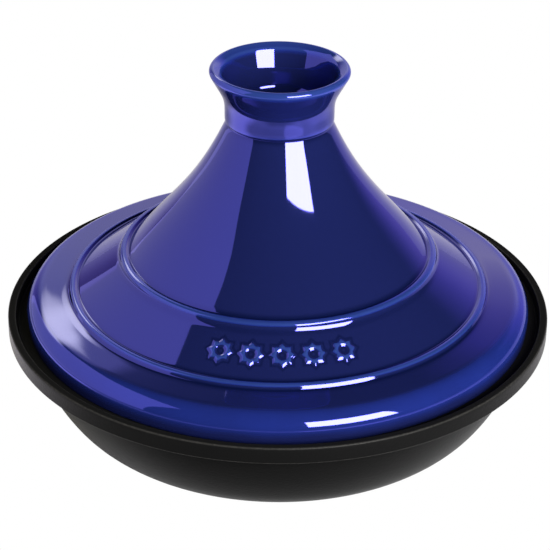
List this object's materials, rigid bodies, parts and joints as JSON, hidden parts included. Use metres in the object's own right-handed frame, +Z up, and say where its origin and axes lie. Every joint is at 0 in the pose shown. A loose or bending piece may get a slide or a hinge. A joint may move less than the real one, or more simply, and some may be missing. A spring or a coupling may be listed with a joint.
{
  "type": "tagine pot",
  "caption": "Tagine: a shallow black cast iron dish with a gutter inside its rim, and a tall conical blue glazed lid with stepped beads and a flared cup knob, which lifts straight off.",
  "frame": {"origin": "centre of the dish's foot, on the plane that the foot rests on", "axes": "+Z up along the axis that the dish and the lid are turned about; -Y towards the relief on the front of the lid; +X to the right seen from the front"},
  "size_m": [0.284, 0.284, 0.1969],
  "materials": {
    "matt_black_iron": "matt black enamel with a fine grain",
    "cobalt_glaze": "high gloss translucent glaze"
  },
  "bodies": {
    "dish": {"base_dish": "matt_black_iron"},
    "lid": {"lid": "cobalt_glaze"}
  },
  "joints": [
    {"name": "lid_lift", "type": "slide", "parent": "dish", "child": "lid", "axis": [0, 0, 1], "range_m": [0, 0.16]}
  ]
}
